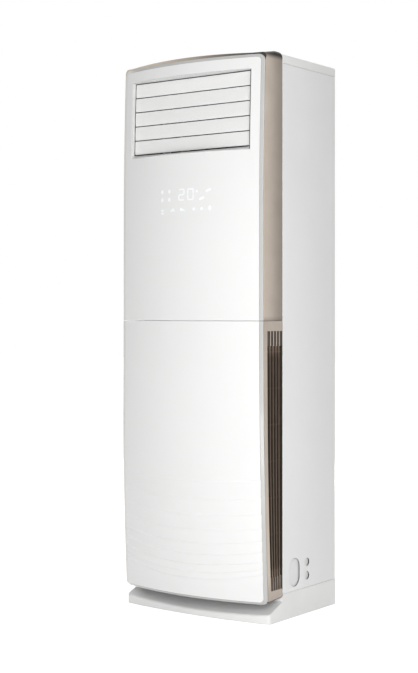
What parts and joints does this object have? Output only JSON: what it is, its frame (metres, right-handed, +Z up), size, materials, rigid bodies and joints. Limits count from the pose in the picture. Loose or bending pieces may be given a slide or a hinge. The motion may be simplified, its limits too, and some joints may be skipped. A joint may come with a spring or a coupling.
{
  "type": "floor standing air conditioner",
  "caption": "Tall floor standing air conditioner: bowed white front, louvred air outlet at the top, champagne side trims with intake slots, and a plinth.",
  "frame": {"origin": "floor level, in the middle of the footprint", "axes": "+X to the right seen from the front, +Y towards the wall behind, +Z up; the front faces -Y"},
  "size_m": [0.578, 0.4709, 1.808],
  "materials": {
    "front_white": "gloss white, moulded",
    "panel_rim": "light grey-green border under the clear edge",
    "cabinet_white": "satin white powder coat",
    "plinth_white": "satin white, moulded",
    "plinth_grey": "satin grey, moulded",
    "champagne": "champagne metallic lacquer",
    "louvre_white": "satin white, moulded",
    "inner_white": "natural white moulding",
    "foam": "expanded foam beads",
    "galvanised": "zinc-coated sheet",
    "bright_steel": "zinc-plated",
    "fins": "thin pressed fins",
    "copper": "drawn copper",
    "filter_frame": "dark moulding with a fine net",
    "blower_grey": "glass-filled moulding",
    "rubber": "matt black",
    "board": "printed circuit board",
    "terminal_black": "black phenolic",
    "light_box": "white moulding"
  },
  "bodies": {
    "cabinet": {"base_pan": "plinth_white", "blower_deck": "galvanised", "blower_scroll": "galvanised", "cabinet_screws": "bright_steel", "display_board": "board", "display_light_box": "light_box", "drain_pipe": "inner_white", "drain_tray": "inner_white", "electric_box": "galvanised", "electric_box_cover": "galvanised", "evaporator_bends": "copper", "evaporator_end_plates": "galvanised", "evaporator_fins": "fins", "fan_motor": "bright_steel", "foam_air_guide": "foam", "front_baffle": "galvanised", "gas_pipe": "copper", "hole_caps": "cabinet_white", "levelling_feet": "rubber", "liquid_pipe": "copper", "louvre_motor": "inner_white", "main_board": "board", "outlet_duct": "inner_white", "outlet_frame": "louvre_white", "pipe_clips": "terminal_black", "pipe_covers": "cabinet_white", "plinth_deck": "plinth_grey", "rear_panel": "galvanised", "scroll_front_plate": "galvanised", "side_panel_left": "cabinet_white", "side_panel_right": "cabinet_white", "terminal_block": "terminal_black", "top_cover": "cabinet_white", "upper_front_panel": "front_white", "upper_panel_frame": "panel_rim", "upper_trim": "champagne", "vane_motor": "inner_white", "wall_bracket": "bright_steel"},
    "fan": {"fan_wheel": "blower_grey", "fan_nut": "bright_steel", "fan_shaft": "bright_steel"},
    "lower_door": {"lower_front_panel": "front_white", "lower_panel_frame": "panel_rim", "intake_grille_left": "champagne", "intake_grille_right": "champagne"},
    "filter_left": {"filter_left": "filter_frame"},
    "filter_right": {"filter_right": "filter_frame"},
    "louvre_1": {"louvre_1": "louvre_white"},
    "louvre_2": {"louvre_2": "louvre_white"},
    "louvre_3": {"louvre_3": "louvre_white"},
    "louvre_4": {"louvre_4": "louvre_white"},
    "louvre_5": {"louvre_5": "louvre_white"},
    "louvre_link": {"louvre_link": "inner_white"},
    "vane_1": {"vane_1": "inner_white"},
    "vane_2": {"vane_2": "inner_white"},
    "vane_3": {"vane_3": "inner_white"},
    "vane_4": {"vane_4": "inner_white"},
    "vane_5": {"vane_5": "inner_white"},
    "vane_6": {"vane_6": "inner_white"},
    "vane_link": {"vane_link": "inner_white"}
  },
  "joints": [
    {"name": "fan_spin", "type": "hinge", "parent": "cabinet", "child": "fan", "pos_m": [-0.025, 0, 0.3], "axis": [0, 1, 0], "continuous": true},
    {"name": "lower_door_slide", "type": "slide", "parent": "cabinet", "child": "lower_door", "axis": [0, -1, 0], "range_m": [0, 0.12]},
    {"name": "filter_left_slide", "type": "slide", "parent": "lower_door", "child": "filter_left", "axis": [1, 0, 0], "range_m": [0, 0.03]},
    {"name": "filter_right_slide", "type": "slide", "parent": "lower_door", "child": "filter_right", "axis": [-1, 0, 0], "range_m": [0, 0.03]},
    {"name": "louvre_1_tilt", "type": "hinge", "parent": "cabinet", "child": "louvre_1", "pos_m": [0, -0.17922, 1.52775], "axis": [1, 0, 0], "range_deg": [0, 80]},
    {"name": "louvre_2_tilt", "type": "hinge", "parent": "cabinet", "child": "louvre_2", "pos_m": [0, -0.178, 1.57525], "axis": [1, 0, 0], "range_deg": [0, 80]},
    {"name": "louvre_3_tilt", "type": "hinge", "parent": "cabinet", "child": "louvre_3", "pos_m": [0, -0.17659, 1.62275], "axis": [1, 0, 0], "range_deg": [0, 80]},
    {"name": "louvre_4_tilt", "type": "hinge", "parent": "cabinet", "child": "louvre_4", "pos_m": [0, -0.17498, 1.67025], "axis": [1, 0, 0], "range_deg": [0, 80]},
    {"name": "louvre_5_tilt", "type": "hinge", "parent": "cabinet", "child": "louvre_5", "pos_m": [0, -0.17319, 1.71775], "axis": [1, 0, 0], "range_deg": [0, 80]},
    {"name": "louvre_link_swing", "type": "hinge", "parent": "louvre_3", "child": "louvre_link", "pos_m": [0.246, -0.16459, 1.62275], "axis": [1, 0, 0], "range_deg": [-80, 0]},
    {"name": "vane_1_turn", "type": "hinge", "parent": "cabinet", "child": "vane_1", "pos_m": [-0.193, -0.1175, 1.62], "axis": [0, 0, 1], "range_deg": [-35, 35]},
    {"name": "vane_2_turn", "type": "hinge", "parent": "cabinet", "child": "vane_2", "pos_m": [-0.1158, -0.1175, 1.62], "axis": [0, 0, 1], "range_deg": [-35, 35]},
    {"name": "vane_3_turn", "type": "hinge", "parent": "cabinet", "child": "vane_3", "pos_m": [-0.0386, -0.1175, 1.62], "axis": [0, 0, 1], "range_deg": [-35, 35]},
    {"name": "vane_4_turn", "type": "hinge", "parent": "cabinet", "child": "vane_4", "pos_m": [0.0386, -0.1175, 1.62], "axis": [0, 0, 1], "range_deg": [-35, 35]},
    {"name": "vane_5_turn", "type": "hinge", "parent": "cabinet", "child": "vane_5", "pos_m": [0.1158, -0.1175, 1.62], "axis": [0, 0, 1], "range_deg": [-35, 35]},
    {"name": "vane_6_turn", "type": "hinge", "parent": "cabinet", "child": "vane_6", "pos_m": [0.193, -0.1175, 1.62], "axis": [0, 0, 1], "range_deg": [-35, 35]},
    {"name": "vane_link_swing", "type": "hinge", "parent": "vane_4", "child": "vane_link", "pos_m": [0.0386, -0.1055, 1.497], "axis": [0, 0, 1], "range_deg": [-35, 35]}
  ],
  "couplings": [
    {"joint": "louvre_1_tilt", "follows": "louvre_3_tilt", "ratio": 1},
    {"joint": "louvre_2_tilt", "follows": "louvre_3_tilt", "ratio": 1},
    {"joint": "louvre_4_tilt", "follows": "louvre_3_tilt", "ratio": 1},
    {"joint": "louvre_5_tilt", "follows": "louvre_3_tilt", "ratio": 1},
    {"joint": "louvre_link_swing", "follows": "louvre_3_tilt", "ratio": -1},
    {"joint": "vane_1_turn", "follows": "vane_4_turn", "ratio": 1},
    {"joint": "vane_2_turn", "follows": "vane_4_turn", "ratio": 1},
    {"joint": "vane_3_turn", "follows": "vane_4_turn", "ratio": 1},
    {"joint": "vane_5_turn", "follows": "vane_4_turn", "ratio": 1},
    {"joint": "vane_6_turn", "follows": "vane_4_turn", "ratio": 1},
    {"joint": "vane_link_swing", "follows": "vane_4_turn", "ratio": -1}
  ]
}
